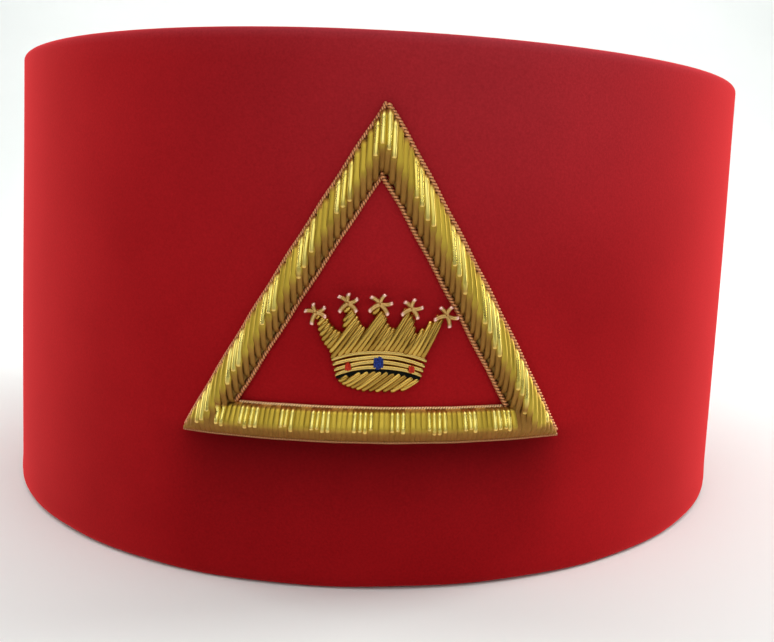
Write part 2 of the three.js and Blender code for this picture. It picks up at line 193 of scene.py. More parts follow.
# The lean falls by this across the crown, and rises by this to each side of a place on its foot
BODY_LEAN_FALL = 15
FOOT_LEAN_RISE = 7
FOOT_LEAN_CENTRE = -0.3
# A laid strand's radius and height in shares, its ends, and how its padding rises
LAID_RADIUS = 0.6
LAID_FLAT = 0.85
LAID_STEPS = (1 - np.cos(np.pi * np.linspace(0, 1, 13))) / 2
LAID_SIDES = 12
# LAID_TIP is the length of the painted highlight at a crown strand's end
LAID_TIP = 0.35 * MM
LAID_FULL_LENGTH = 3 * MM
LAID_UNEVEN = 0.05 * MM
LAID_SWELL = 0.4
END_INSET = 0.32 * MM
INSET_SHARE = 0.3
END_UNEVEN = 0.1
HIDDEN_REACH = 0.35 * MM
# The band's strands: their fuzz, lift, uneven course and mesh
BAND_THICK = 0.68 * MM
BAND_FUZZ = 0.045 * MM
BAND_LIFT = 0.25 * MM
BAND_WANDER = 0.05 * MM
BAND_WAVES = 9
BAND_STEPS = 40
BAND_SIDES = 14
BAND_HALF = 0.76
BAND_FOOT_HALF = 0.67
BAND_TOP = 0.41
BAND_ARCH = 0.1
# The dark thread under the band, laid as several lines so that it also stands in for the band's shadow: lines
# of it one under another, in mm, closer at the band's ends
SHADE_THICK = 0.5 * MM
SHADE_LINES = (0.0, 0.25, 0.5, 0.7)
SHADE_ENDS = 0.2
SHADE_LIFT = 0.75 * MM
SHADE_RADIUS = 0.3
FOOT_HALF = 0.66
FOOT_ARCH = 0.11
FOOT_BEND = 3
FOOT_LEAST = 0.3 * MM
FOOT_GAP = 0.8
# The stars' rays: their start in mm, their end as a share, and their curve, stacking, rise and lit tip
RAY_DIAMETER = 0.76 * MM
RAY_FROM = 0.14
RAY_TO = 0.86
RAY_CURVE = 0.16 * MM
RAY_STACK = 0.1
RAY_LIFT = 0.15
RAY_RISE = 0.3 * MM
RAY_TIP = 0.45 * MM
# The knots: how close their threads lie, how they round off, rise and wander
JEWEL_THREAD = 0.36 * MM
KNOT_SPACING = 0.84
KNOT_ROUND = 1.7
KNOT_SEAT = 0.7
KNOT_RISE = 0.35 * MM
KNOT_UNEVEN = 0.06
KNOT_WANDER = 0.05 * MM
KNOT_SLANT = 0.06 * MM

# The crown's upper outline from left to right, in shares of its half width and of its height
CROWN_OUTLINE = [
    (-0.84, 0.49), (-0.94, 0.6), (-1.0, 0.71), (-1.08, 0.95), (-0.93, 0.97), (-0.74, 0.76), (-0.6, 0.7),
    (-0.6, 1.07), (-0.46, 1.08), (-0.33, 0.84),
    (-0.23, 0.76), (-0.15, 0.87), (-0.09, 1.06), (0.02, 1.07), (0.13, 0.79), (0.25, 0.76), (0.37, 1.0),
    (0.48, 1.01), (0.58, 0.7), (0.72, 0.8), (0.93, 0.93), (1.07, 0.93),
]
# Stars: place across and up in the same shares, and each ray's direction in degrees and length in mm
STARS = [
    (-1.03, 0.93, [(172, 2.1), (108, 1.8), (35, 2.0), (-20, 2.0), (-108, 2.2)]),
    (-0.53, 1.055, [(146, 2.2), (88, 1.8), (27, 1.9), (-43, 2.2), (-133, 2.2)]),
    (-0.03, 1.05, [(142, 2.2), (66, 2.0), (6, 2.2), (-52, 2.4), (-146, 2.3)]),
    (0.47, 1.0, [(136, 1.9), (76, 1.9), (9, 2.0), (-56, 2.1), (-150, 2.1)]),
    (1.03, 0.92, [(128, 2.0), (62, 1.9), (-11, 2.2), (-74, 2.2), (-163, 2.4)]),
]
# Knots on the band: place across, strands down from its top, threads side by side, height in strands
JEWELS = [
    {"name": "jewel_left", "across": -0.49, "strand": 2.8, "threads": 3, "tall": 1.5, "colour": "red"},
    {"name": "jewel_centre", "across": -0.01, "strand": 2.7, "threads": 5, "tall": 2.7, "colour": "blue"},
    {"name": "jewel_right", "across": 0.52, "strand": 2.9, "threads": 3, "tall": 1.5, "colour": "red"},
]

# The rings that close a tube's end, in shares of its radius: (how far beyond it, how wide)
END_RINGS = [(0.3, 0.8), (0.5, 0.35)]

# The floor: its reach, its far end, the sweep's radius and height, and the rows of its flat part
FLOOR_REACH = 6
FLOOR_DEPTH = 0.9
FLOOR_BEND = 0.35
FLOOR_RISE = 1.6
FLOOR_ROWS = (-FLOOR_REACH, -0.8, 0.0, FLOOR_DEPTH - FLOOR_BEND)
WHITE = (1.0, 0.99, 0.97)
WARM = (1.0, 0.97, 0.95)
# Lights: name, place, target, width and depth, power, colour
LIGHTS = [
    ("overhead_light", (0.03, -0.28, 0.52), (0, -0.1, 0.05), (0.7, 0.3), 1.05, WHITE),
    ("front_light", (0, -0.9, 0.46), (0, -0.1, 0.05), (1.7, 0.4), 2.7, WHITE),
    ("left_light", (-0.75, 0.25, 0.3), (0, 0, 0.05), (0.35, 0.6), 2.8, WARM),
    ("right_light", (0.75, 0.2, 0.35), (0, 0, 0.05), (0.35, 0.6), 4.8, WARM),
    ("backdrop_light", (0, 0.35, 1.1), (0, 0.7, 0.3), (1.6, 0.6), 8.0, WHITE),
]
# The room's light: its tones from below and above, its strengths from the front and the sides
ROOM_BELOW = (0.30, 0.29, 0.28, 1)
ROOM_ABOVE = (0.75, 0.77, 0.8, 1)
ROOM_FRONT = 0.16
ROOM_SIDES = 0.3

# Sizes worked out from those above
BADGE_PROUD = SEAT_GAP + BAR_PADDING
PLAN_CENTRE_Y = BADGE_PROUD / 2
TRIANGLE_HEIGHT = CAP_HEIGHT - MARGIN_ABOVE - MARGIN_BELOW
SLOPE = 1 / TRIANGLE_SPREAD

# The front's arc length at each plan angle
ANGLES = np.linspace(-1.2, 1.2, 2401)
SPEEDS = np.hypot(CAP_HALF_WIDTH * np.cos(ANGLES), CAP_HALF_LENGTH * np.sin(ANGLES))
STEPS = (SPEEDS[1:] + SPEEDS[:-1]) / 2 * np.diff(ANGLES)
ARCS = np.concatenate([[0], np.cumsum(STEPS)])
ARCS -= np.interp(0, ANGLES, ARCS)


def steeper(t):
    """How far the cap's steeper part is felt at plan angle t, from 0 to 1."""
    away = (np.asarray(t, float) - STEEPER_ANGLE + np.pi) % (2 * np.pi) - np.pi
    return np.exp(-((away / STEEPER_SPREAD) ** 2))


def wall(t, z, w):
    """Points at plan angle t from the front and height z, pushed w out of the side's outer face."""
    t, z, w = np.broadcast_arrays(np.asarray(t, float), np.asarray(z, float), np.asarray(w, float))
    w = w - STEEPER * steeper(t) * z / CAP_HEIGHT
    nx, ny = np.sin(t) / CAP_HALF_WIDTH, -np.cos(t) / CAP_HALF_LENGTH
    size = np.hypot(nx, ny)
    x = CAP_HALF_WIDTH * np.sin(t) + nx / size * w
    y = -CAP_HALF_LENGTH * np.cos(t) + ny / size * w
    return np.stack([x + CAP_LEAN * (z - CAP_HEIGHT / 2), y + PLAN_CENTRE_Y, z], -1)


def top_height(t, w):
    """The height of the top's plane at plan angle t, w outside the side's outer face."""
    return CAP_HEIGHT - CAP_LEAN * wall(t, CAP_HEIGHT / 2, w)[..., 0] + STEEPER * steeper(t)


def lay(u, v, w):
    """Points on the front: u along its arc, v up, w out of the cloth."""
    return wall(np.interp(u, ARCS, ANGLES), v, w)


# Meshes

def smooth_object(name, points, faces, materials):
    """A smooth mesh in the scene."""
    mesh = bpy.data.meshes.new(name)
    mesh.from_pydata(np.asarray(points, float).tolist(), [], faces)
    for material in materials:
        mesh.materials.append(material)
    mesh.polygons.foreach_set("use_smooth", [True] * len(mesh.polygons))
    obj = bpy.data.objects.new(name, mesh)
    bpy.context.scene.collection.objects.link(obj)
    return obj


def piece(name, points, faces, materials, replaced=(), face_material=None, values=None):
    """A smooth mesh that rides on the part, with values for each point as attributes."""
    obj = smooth_object(name, points, faces, materials)
    mesh = obj.data
    if face_material is not None:
        mesh.polygons.foreach_set("material_index", np.asarray(face_material, np.int32))
    for key, numbers in (values or {}).items():
        attribute = mesh.attributes.new(key, "FLOAT", "POINT")
        attribute.data.foreach_set("value", np.asarray(numbers, np.float32))
    mesh.update()
    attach(obj, "root")
    if replaced:
        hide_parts(*replaced)
    return obj


def grid_faces(rows, columns, wrap_rows=False, wrap_columns=False):
    """Quads between rows x columns of points."""
    faces = []
    for i in range(rows if wrap_rows else rows - 1):
        for j in range(columns if wrap_columns else columns - 1):
            a, b = i * columns, (i + 1) % rows * columns
            k = (j + 1) % columns
            faces.append((a + j, b + j, b + k, a + k))
    return faces


class Bundle:
    """Closed round tubes gathered into one mesh."""

    def __init__(self):
        self.points, self.faces, self.kinds = [], [], []
        self.values = {"along": [], "tone": [], "tip": [], "low": [], "groove": []}

    def tube(
        self, path, radius, sides=8, kind=0, tone=0.0, tip=0.0, low=None, flat=1.0, out=None, twist=None
    ):
        """Adds a tube along a path, with a rounded end at each side of it.

        Its section is flat times as tall as it is wide, out being the way its height points. A twist of
        (plies, rise of one ply in a turn, depth) cuts the grooves between plies. The painted highlight's
        length at the end and the painted shade marks along the path are handed to the materials.
        """
        path = np.asarray(path, float)
        along = np.concatenate([[0], np.cumsum(np.linalg.norm(np.diff(path, axis=0), axis=1))])
        radii = np.full(len(path), radius)
        tangent = np.gradient(path, axis=0)
        tangent /= np.linalg.norm(tangent, axis=1)[:, None]
        path, radii, along, tangent = rounded(path, radii, along, tangent)
        if out is None:
            out = np.cross(path[-1] - path[0], [0.0, 0.0, 1.0])
        side = np.cross(path[-1] - path[0], out)
        side /= np.linalg.norm(side)
        up = np.cross(np.broadcast_to(side, tangent.shape), tangent)
        up /= np.linalg.norm(up, axis=1)[:, None]
        turn = 2 * np.pi * np.arange(sides) / sides
        reach = np.repeat(radii[:, None], sides, 1)
        groove = np.zeros_like(reach)
        if twist:
            plies, rise, depth = twist
            phase = plies * (along[:, None] / rise * 2 * np.pi - turn[None, :])
            groove = 1 - np.abs(np.sin(phase / 2))
            reach -= depth * groove * (radii / radius)[:, None]
        across = np.cos(turn)[None, :, None] * side[None, None, :]
        ring = across + flat * np.sin(turn)[None, :, None] * up[:, None, :]
        n = len(path)
        start = sum(map(len, self.points))
        self.points.append((path[:, None, :] + reach[:, :, None] * ring).reshape(-1, 3))
        faces = grid_faces(n, sides, wrap_columns=True)
        faces.append(tuple(range(sides)))
        faces.append(tuple((n - 1) * sides + k for k in reversed(range(sides))))
        self.faces += [tuple(start + k for k in face) for face in faces]
        self.kinds += [kind] * len(faces)
        reached = np.zeros(n)
        if tip:
            reached = np.clip((along - along[-1]) / tip + 1, 0, 1)
        lows = np.zeros(n) if low is None else np.pad(low, len(END_RINGS), mode="edge")
        rings = {"along": along, "tone": np.full(n, tone), "tip": reached, "low": lows}
        for key, numbers in rings.items():
            self.values[key].append(np.repeat(numbers, sides))
        self.values["groove"].append(groove.reshape(-1))

    def make(self, name, materials, replaced=()):
        values = {key: np.concatenate(parts) for key, parts in self.values.items()}
        points = np.concatenate(self.points)
        return piece(name, points, self.faces, materials, replaced, self.kinds, values)


def rounded(path, radii, along, tangent):
    """The same path with smaller rings beyond each end, so that the tube closes roundly."""
    count = len(END_RINGS)
    beyond, wide = np.array(END_RINGS).T
    before = path[0] - tangent[0] * radii[0] * beyond[::-1, None]
    after = path[-1] + tangent[-1] * radii[-1] * beyond[:, None]
    path = np.concatenate([before, path, after])
    radii = np.concatenate([radii[0] * wide[::-1], radii, radii[-1] * wide])
    along = np.pad(along, count, mode="edge")
    tangent = np.pad(tangent, ((count, count), (0, 0)), mode="edge")
    return path, radii, along, tangent


def outward(u, v):
    """The way out of the cloth at a place on the front."""
    way = lay(u, v, MM) - lay(u, v, 0.0)
    return way / np.linalg.norm(way)


# Materials

def srgb(r, g, b):
    """A colour given as it looks on a screen, 0 to 255, as the renderer counts it."""
    def linear(value):
        share = value / 255
        return share / 12.92 if share <= 0.04045 else ((share + 0.055) / 1.055) ** 2.4
    return (linear(r), linear(g), linear(b), 1.0)


# Noise lies mostly between these two values
NOISE_LOW = 0.3
NOISE_HIGH = 0.7


class Nodes:
    """The nodes that feed a shader."""

    def __init__(self, tree, shader):
        self.tree = tree
        self.shader = tree.nodes[shader]

    def node(self, kind, inputs=None, **options):
        made = self.tree.nodes.new("ShaderNode" + kind)
        for key, value in options.items():
            setattr(made, key, value)
        for key, value in (inputs or {}).items():
            if isinstance(value, bpy.types.NodeSocket):
                self.tree.links.new(value, made.inputs[key])
            else:
                made.inputs[key].default_value = value
        return made

    def value(self, name):
        return self.node("Attribute", attribute_name=name).outputs["Fac"]

    def noise(self, scale, detail=2.0, roughness=0.5):
        place = self.node("TexCoord").outputs["Object"]
        sizes = {"Vector": place, "Scale": scale, "Detail": detail, "Roughness": roughness}
        return self.node("TexNoise", sizes).outputs["Fac"]

    def math(self, operation, a, b=0.0):
        return self.node("Math", {0: a, 1: b}, operation=operation).outputs[0]

    def ramp(self, factor, *stops):
        made = self.node("ValToRGB", {"Fac": factor})
        for element, (place, colour) in zip(made.color_ramp.elements, stops):
            element.position = place
            element.color = colour
        return made.outputs["Color"]

    def blend(self, factor, dark, light, low=NOISE_LOW, high=NOISE_HIGH):
        return self.ramp(factor, (low, srgb(*dark)), (high, srgb(*light)))

    def range(self, value, low, high, to_low, to_high):
        sizes = {"Value": value, "From Min": low, "From Max": high, "To Min": to_low, "To Max": to_high}
        return self.node("MapRange", sizes).outputs["Result"]

    def mix(self, factor, a, b, blend="MIX"):
        made = self.node("Mix", {0: factor, 6: a, 7: b}, data_type="RGBA", blend_type=blend)
        return made.outputs[2]

    def bump(self, height, strength, distance):
        sizes = {"Height": height, "Strength": strength, "Distance": distance}
        return self.node("Bump", sizes).outputs["Normal"]

    def feed(self, socket, output):
        self.tree.links.new(output, self.shader.inputs[socket])


class Finish(Nodes):
    """A material, with settings of its shader."""

    def __init__(self, name, **settings):
        self.material = bpy.data.materials.new(name)
        self.material.use_nodes = True
        super().__init__(self.material.node_tree, "Principled BSDF")
        for key, value in settings.items():
            self.shader.inputs[key.replace("_", " ")].default_value = value


VELVET_DARK, VELVET_LIGHT = (157, 18, 23), (174, 25, 30)
VELVET_SHEEN = srgb(255, 82, 84)
# Colours mixed into the velvet: painted shadow below the badge, and painted highlight at the upper right and
# the upper edge
VELVET_PAINTED_LIGHT = {"painted_shadow": srgb(82, 6, 9), "painted_highlight": srgb(196, 84, 96)}
PILE_DEPTHS, PILE_TIPS = (226, 226, 226), (255, 255, 255)
# The wire's wear: its scale along a strand and between strands, and what it does to tone and roughness
WORN_ALONG = 160
WORN_ACROSS = 40
TONE_WANDER = 0.35
TONE_REACH = 1.6
SMOOTHEST = 0.8
ROUGHEST = 1.25
LOW_ROUGHER = 0.2
RING_DEPTH = 0.03 * MM
# Where the painted shade in a cord's grooves begins and where it is full
GROOVE_RANGE = (0.4, 0.85)
# Gold wires: darkest and lightest tone, roughness, and the rings of their coil in mm and in depth
WIRE_LOOKS = {
    "bright": {"dark": (236, 214, 100), "light": (255, 240, 140), "rough": 0.28, "ring": 0.3, "deep": 0.0},
    "dull": {"dark": (180, 152, 54), "light": (212, 184, 72), "rough": 0.44, "ring": 0.3, "deep": 0.02},
    "crown": {"dark": (138, 101, 38), "light": (220, 182, 90), "rough": 0.22, "ring": 0.22, "deep": 0.08},
    "band": {"dark": (188, 156, 84), "light": (216, 184, 106), "rough": 0.2, "ring": 0.16, "deep": 0.05},
    "star": {"dark": (182, 142, 82), "light": (212, 172, 108), "rough": 0.3, "ring": 0.2, "deep": 0.4},
}
# Painted highlights for strand ends, the pink one with a painted reflection of the velvet in it,
# and painted shade for the lower slopes and for the hollows between a cord's plies
LIT_END = srgb(252, 218, 124)
PINK_END_GLINT = srgb(255, 206, 196)
SHADED_GOLD = srgb(160, 118, 58)
PLY_SHADE = srgb(74, 42, 14)
WIRE_MARKS = {
    "bright": {"end": LIT_END, "low": SHADED_GOLD},
    "dull": {"end": LIT_END, "low": SHADED_GOLD},
    "crown": {"end": LIT_END},
    "band": {},
    "star": {"end": PINK_END_GLINT},
}
# The edging cords by side of the triangle, with the one along its foot, coloured darker than the base's other
# cord
CORD_LOOKS = {
    "left": {"name": "fine_cord", "dark": (208, 136, 88), "light": (234, 162, 110), "rough": 0.38},
    "right": {"name": "thick_cord", "dark": (204, 134, 84), "light": (232, 164, 108), "rough": 0.36},
    "base": {"name": "smooth_cord", "dark": (244, 190, 132), "light": (255, 214, 160), "rough": 0.34},
    "foot": {"name": "darker_foot_cord", "dark": (178, 120, 74), "light": (206, 148, 96), "rough": 0.45},
}
CORD_COIL = {"ring": 0.3, "deep": 0.05}
CORD_METAL = 0.5
THREAD_LOOKS = {
    "dark": {"dark": (3, 6, 4), "light": (15, 18, 12), "rough": 0.8, "shine": 0.1},
    "red": {"dark": (176, 22, 4), "light": (214, 56, 14), "rough": 0.5, "shine": 0.3},
    "blue": {"dark": (5, 20, 78), "light": (22, 58, 150), "rough": 0.5, "shine": 0.3},
}


def velvet():
    """Short dense pile that lights up where it is seen along the cloth."""
    sheen = {"Sheen_Weight": 1.0, "Sheen_Roughness": 0.4, "Sheen_Tint": VELVET_SHEEN}
    f = Finish("red_velvet", Roughness=0.9, Specular_IOR_Level=0.0, **sheen)
    pile = f.noise(2600, 2, 0.6)
    colour = f.blend(f.noise(26, 3, 0.55), VELVET_DARK, VELVET_LIGHT)
    # Painted shadow and painted highlights mixed into the velvet's colour
    for mark, tone in VELVET_PAINTED_LIGHT.items():
        colour = f.mix(f.value(mark), colour, tone)
    shade = f.blend(pile, PILE_DEPTHS, PILE_TIPS, 0.25, 0.75)
    f.feed("Base Color", f.mix(1.0, colour, shade, "MULTIPLY"))
    f.feed("Normal", f.bump(pile, 0.25, 0.1 * MM))
    return f.material


def plain_cloth():
    """The plain woven cloth inside."""
    f = Finish("inside_cloth", Roughness=0.9, Sheen_Weight=0.2)
    weave = f.noise(1800, 2, 0.6)
    f.feed("Base Color", f.blend(weave, (104, 12, 16), (126, 18, 22)))
    f.feed("Normal", f.bump(weave, 0.4, 0.1 * MM))
    return f.material


def wire(name, look, end=None, ply_shade=None, low=None, metal=1.0):
    """Coiled gold wire: fine rings along the strand, a tone of its own for each strand, and any painted
    highlight at its end, painted shade on the lower slopes or painted shade in a cord's hollows.
    """
    f = Finish(name, Metallic=metal)
    along, own_tone = f.value("along"), f.value("tone")
    rings = f.math("SINE", f.math("MULTIPLY", along, 2 * math.pi / (look["ring"] * MM)))
    way = {"X": f.math("MULTIPLY", along, WORN_ALONG), "Y": f.math("MULTIPLY", own_tone, WORN_ACROSS)}
    place = f.node("CombineXYZ", way).outputs[0]
    wear_and_edge_highlight = f.node("TexNoise", {"Vector": place, "Scale": 1.0, "Detail": 2.0}).outputs["Fac"]
    wander = f.range(wear_and_edge_highlight, NOISE_LOW, NOISE_HIGH, -TONE_WANDER, TONE_WANDER)
    share = f.range(f.math("ADD", own_tone, wander), -TONE_REACH, TONE_REACH, 0, 1)
    colour = f.blend(share, look["dark"], look["light"], 0, 1)
    rough = look["rough"]
    roughness = f.range(wear_and_edge_highlight, NOISE_LOW, NOISE_HIGH, rough * SMOOTHEST, rough * ROUGHEST)
    # Painted shade on the bars' lower slopes and upper edges, with a rougher finish there
    if low:
        colour = f.mix(f.value("low"), colour, low)
        roughness = f.math("ADD", roughness, f.math("MULTIPLY", f.value("low"), LOW_ROUGHER))
    # Painted highlight on the strand's end
    if end:
        colour = f.mix(f.value("tip"), colour, end)
    # Painted shade in the grooves between a cord's plies
    if ply_shade:
        colour = f.mix(f.range(f.value("groove"), *GROOVE_RANGE, 0, 1), colour, ply_shade)
    f.feed("Base Color", colour)
    f.feed("Roughness", roughness)
    f.feed("Normal", f.bump(rings, look["deep"], RING_DEPTH))
    return f.material


def thread(name, dark, light, rough, shine):
    """Twisted silk thread."""
    f = Finish(name, Roughness=rough, Specular_IOR_Level=shine)
    strands = f.noise(5200, 1, 0.5)
    f.feed("Base Color", f.blend(strands, dark, light, 0.35, 0.65))
    f.feed("Normal", f.bump(strands, 0.5, 0.05 * MM))
    return f.material


def felt_padding():
    """Yellow-brown padding that shows between the strands."""
    f = Finish("padding", Roughness=0.8)
    fibres = f.noise(3000, 2, 0.6)
    f.feed("Base Color", f.blend(fibres, (110, 82, 26), (150, 116, 44)))
    f.feed("Normal", f.bump(fibres, 0.5, 0.1 * MM))
    return f.material


VELVET = velvet()
INSIDE = plain_cloth()
PADDING = felt_padding()
WIRE = {key: wire(f"{key}_wire", look, **WIRE_MARKS[key]) for key, look in WIRE_LOOKS.items()}
CORD_WIRE = {}
for side, look in CORD_LOOKS.items():
    CORD_WIRE[side] = wire(look["name"], look | CORD_COIL, ply_shade=PLY_SHADE, metal=CORD_METAL)
THREAD = {key: thread(f"{key}_thread", **look) for key, look in THREAD_LOOKS.items()}


# The cap's cloth

def side_profile():
    """The side's section from the inner rim, outwards, up and over: (outwards, up, whether from the top)."""
    quarter = np.radians(np.linspace(0, 90, ROUND_ROWS))
    fold = WALL_THICK - FOLD_GAP
    rows = [(-WALL_THICK, 0.0, 0)]
    rows += [(w, 0.0, 0) for w in np.linspace(-fold, -RIM_ROLL, FOLD_ROWS)]
    rows += [(RIM_ROLL * (np.sin(a) - 1), RIM_ROLL * (1 - np.cos(a)), 0) for a in quarter[1:]]
    rows += [(0.0, z, 0) for z in np.linspace(LOWEST_ROW, CAP_HEIGHT / 2, LOWER_ROWS)]
    rows += [(0.0, -z, 1) for z in np.linspace(CAP_HEIGHT * UPPER_SHARE, EDGE_ROUND * EDGE_START, UPPER_ROWS)]
    rows += [(EDGE_ROUND * (np.cos(a) - 1), EDGE_ROUND * (np.sin(a) - 1), 1) for a in quarter]
    rows += [(w, 0.0, 1) for w in np.linspace(-EDGE_ROUND - FOLD_GAP, -fold, FOLD_ROWS)]
    rows.append((-WALL_THICK, -FOLD_GAP, 1))
    return rows


def painted_light_marks(t, height):
    """How strong the painted shadow below the badge is at a place, and the painted highlights at the upper
    right and the upper edge.
    """
    u, v = np.interp(t, ANGLES, ARCS), height
    covered = np.clip((MARGIN_BELOW + SHADOW_EDGE - v) / SHADOW_EDGE, 0, 1)
    below = covered * np.exp(-(MARGIN_BELOW - v).clip(0) / SHADOW_REACH)
    beside = 1 / (1 + np.exp((abs(u) - TRIANGLE_SPREAD * TRIANGLE_HEIGHT) / SHADOW_SIDES))
    painted_shadow = SHADOW_STRENGTH * below * beside
    # Painted haze at the upper right
    aside = (u - HAZE_CENTRE) / HAZE_SPREAD
    painted_highlight = HAZE_STRENGTH * np.exp(-(aside ** 2) - ((CAP_HEIGHT - v) / HAZE_DEPTH).clip(0) ** 2)
    front = abs(t) < ANGLES[-1]
    # Painted highlight along the top edge
    wear_and_edge_highlight = EDGE_HIGHLIGHT * np.exp(-(((top_height(t, 0.0) - v) / EDGE_HIGHLIGHT_DEPTH) ** 2))
    return painted_shadow * front, painted_highlight * front + wear_and_edge_highlight


def cap_side():
    """The velvet side, with a seam at the back, an uneven rim and the slack of a sewn cloth."""
    rows = side_profile()
    stations = 480
    t = np.linspace(0, 2 * np.pi, stations, endpoint=False)
    from_seam = (t - np.pi) * CAP_HALF_WIDTH
    seam = np.exp(-((from_seam / SEAM["wide"]) ** 2))
    pucker = np.exp(-((from_seam / PUCKER["wide"]) ** 2))
    uneven = RIM_LEVEL
    for wave in RIM_WAVES:
        uneven = uneven + wave["share"] * np.sin(wave["round"] * t + wave["start"])
    points, painted_shadow, painted_highlight = [], [], []
    for w, z, at_top in rows:
        height = top_height(t, w) + z if at_top else np.full(stations, z)
        # Painted shadow below the badge, and painted highlights at the upper right and along the top edge
        down, up = painted_light_marks((t + np.pi) % (2 * np.pi) - np.pi, height)
        painted_shadow.append(down)
        painted_highlight.append(up)
        if not at_top and w > -WALL_THICK / 2:
            height = height + RIM_UNEVEN * uneven * np.exp(-z / RIM_REACH)
        outside = w > -EDGE_ROUND * OUTER_SHARE
        rise = np.sin(np.pi * np.clip(height / CAP_HEIGHT, 0, 1)).clip(0, 1)
        slack = 0.0
        for wave in SLACK_WAVES:
            turn = wave["round"] * t + wave["up"] * height + wave["start"]
            slack = slack + wave["high"] * np.sin(turn) * rise
        sewn = PUCKER["high"] * pucker * np.sin(height * PUCKER["waves"]) - SEAM["deep"] * seam
        above_rim = (height - RIM_SWELL["up"]) / RIM_SWELL["wide"]
        swell = RIM_SWELL["high"] * np.exp(-(above_rim ** 2)) * (1 - at_top)
        points.append(wall(t, height, w + (slack + sewn + swell) * outside))
    points = np.stack(points, 1).reshape(-1, 3)
    faces = grid_faces(stations, len(rows), wrap_rows=True, wrap_columns=True)
    inner = [0] * (len(rows) - 1) + [1]
    marks = {"painted_shadow": np.stack(painted_shadow, 1).reshape(-1), "painted_highlight": np.stack(painted_highlight, 1).reshape(-1)}
    kinds = inner * stations
    return piece("cap_side_velvet", points, faces, [VELVET, INSIDE], ["cap_side"], kinds, marks)


def cap_top():
    """The top's velvet: a swelled oval with a rounded edge, and plain cloth under it."""
    edge = -(WALL_THICK + SEAT_GAP)
    flat_edge = edge - TOP_ROUND
    stations = 240
    t = np.linspace(0, 2 * np.pi, stations, endpoint=False)
    quarter = np.radians(np.linspace(0, 90, 6))

    def rim(w, drop):
        return wall(t, top_height(t, w) - TOP_INSET + drop, w)

    def inwards(share, drop):
        out = rim(flat_edge, drop)
        level = CAP_HEIGHT - TOP_INSET + drop
        middle = np.array([CAP_LEAN * (level - CAP_HEIGHT / 2), PLAN_CENTRE_Y, level])
        at = middle + (out - middle) * share
        at[:, 2] += TOP_SWELL * (1 - share * share)
        across = np.sin(at[:, 0] * TOP_RIPPLE["across"] + TOP_RIPPLE["start"])
        ripple = across * np.cos(at[:, 1] * TOP_RIPPLE["along"])
        at[:, 2] += TOP_RIPPLE["high"] * ripple * (1 - share)
        return at

    rings = [inwards(share, -TOP_THICK) for share in TOP_SHARES[::-1]]
    rings.append(rim(flat_edge, -TOP_THICK))
    below = (len(rings) - 1) * stations
    rings.append(rim(edge, TOP_ROUND - TOP_THICK))
    rings += [rim(edge + TOP_ROUND * (np.cos(a) - 1), TOP_ROUND * (np.sin(a) - 1)) for a in quarter]
    rings += [inwards(share, 0.0) for share in TOP_SHARES]
    points = np.concatenate(rings)
    faces = grid_faces(len(rings), stations, wrap_columns=True)
    faces = [tuple(reversed(face)) for face in faces]
    kinds = [1 if i < below else 0 for i in range(len(faces))] + [1, 0]
    faces.append(tuple(range(stations)))
    faces.append(tuple(reversed(range(len(points) - stations, len(points)))))
    return piece("cap_top_velvet", points, faces, [VELVET, INSIDE], ["cap_top"], kinds)


# The triangle

def corners(left, right, base):
    """Apex, left corner and right corner of the triangle with its edges moved inwards by these widths."""
    top = MARGIN_BELOW + TRIANGLE_HEIGHT
    slant = math.hypot(1, SLOPE)
    foot = MARGIN_BELOW + base
    middle = (left - right) * slant / 2 / SLOPE
    apex = np.array([middle, top - right * slant - middle * SLOPE])
    left_foot = np.array([(foot - top + left * slant) / SLOPE, foot])
    right_foot = np.array([(top - right * slant - foot) / SLOPE, foot])
    return apex, left_foot, right_foot


def cut_lines(polygon, lines):
    """Lines of (anchor, lean from upright in degrees) cut to a polygon, as pairs of a low and a high end."""
    polygon = np.asarray(polygon, float)
    following = np.roll(polygon, -1, axis=0)
    found = []
    for anchor, lean in lines:
        way = np.array([math.sin(math.radians(lean)), math.cos(math.radians(lean))])
        hits = []
        for a, b in zip(polygon, following):
            edge = b - a
            cross = way[0] * edge[1] - way[1] * edge[0]
            if abs(cross) < PARALLEL:
                continue
            offset = a - np.asarray(anchor)
            share = (offset[0] * way[1] - offset[1] * way[0]) / cross
            if 0 <= share < 1:
                hits.append((offset[0] * edge[1] - offset[1] * edge[0]) / cross)
        hits.sort()
        found += [(anchor + way * low, anchor + way * high) for low, high in zip(hits[::2], hits[1::2])]
    return found


def edge_widths(edge, cords):
    """Widths inwards to a line that runs this many cords inside the bars' outer or inner edges."""
    way = 1 if edge == "outer" else -1
    room = CORD_ROOM if cords == 1 else 0.0
    return [BARS[side][edge] * MM + way * (CORDS[side]["thick"] * cords * MM + room) for side in BARS]


def across_bars(u, v):
    """Shares of the bars' widths at a place: inwards from the slanting edge, and up from the lower one."""
    top = MARGIN_BELOW + TRIANGLE_HEIGHT
    inwards = (top - v - SLOPE * np.abs(u)) / math.hypot(1, SLOPE)
    outer, inner = edge_widths("outer", 1), edge_widths("inner", 1)
    start, end = (np.where(u < 0, widths[0], widths[1]) for widths in (outer, inner))
    return (inwards - start) / (end - start), (v - MARGIN_BELOW - outer[2]) / (inner[2] - outer[2])


def ridge(u, v):
    """The padding's rise over the bars, up to 1: rolled edges and two slopes that meet in a soft ridge."""
    side, foot = across_bars(u, v)
    from_outer = np.minimum(side / CREST, foot / (1 - CREST))
    from_inner = np.maximum((1 - side) / (1 - CREST), (1 - foot) / CREST)
    share = np.minimum(from_outer, from_inner).clip(0, 1)
    edge = np.sqrt(1 - (1 - (share / EDGE_ROLL).clip(0, 1)) ** 2)
    slope = share * (1 + SLOPE_CURVE - SLOPE_CURVE * share ** 2)
    return EDGE_RISE * edge + (1 - EDGE_RISE) * slope


